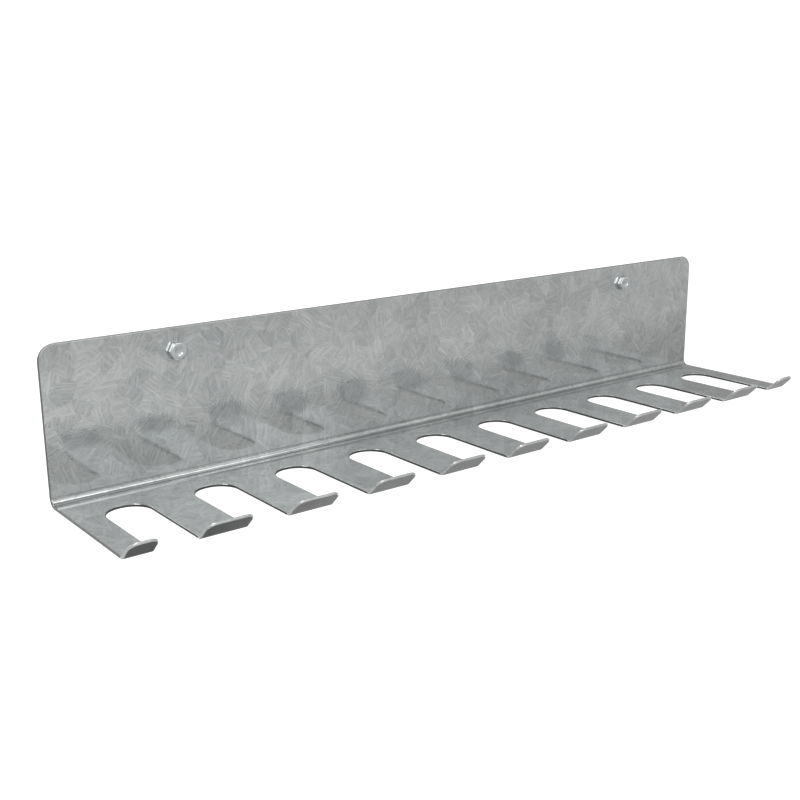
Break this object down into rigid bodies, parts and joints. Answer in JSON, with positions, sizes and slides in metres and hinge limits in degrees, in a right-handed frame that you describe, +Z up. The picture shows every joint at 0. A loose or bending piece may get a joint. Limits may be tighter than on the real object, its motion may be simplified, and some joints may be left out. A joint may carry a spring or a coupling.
{
  "type": "clamp rack",
  "caption": "Wall rack for clamps: a folded sheet with an upright back plate and a slotted shelf whose fingers end in raised lips.",
  "frame": {"origin": "on the wall, midway between the two screws, at the height of their centre lines", "axes": "+X along the rack, to the right as seen from the room; +Y into the wall; +Z up"},
  "size_m": [0.6096, 0.1678, 0.1036],
  "materials": {
    "galvanised_sheet": "hot-dip galvanised sheet with a faint spangle, semi-bright, bare cut edges",
    "zinc_screw": "bright zinc plating"
  },
  "bodies": {
    "root": {"folded_rack": "galvanised_sheet", "left_lag_screw": "zinc_screw", "right_lag_screw": "zinc_screw"}
  },
  "joints": []
}
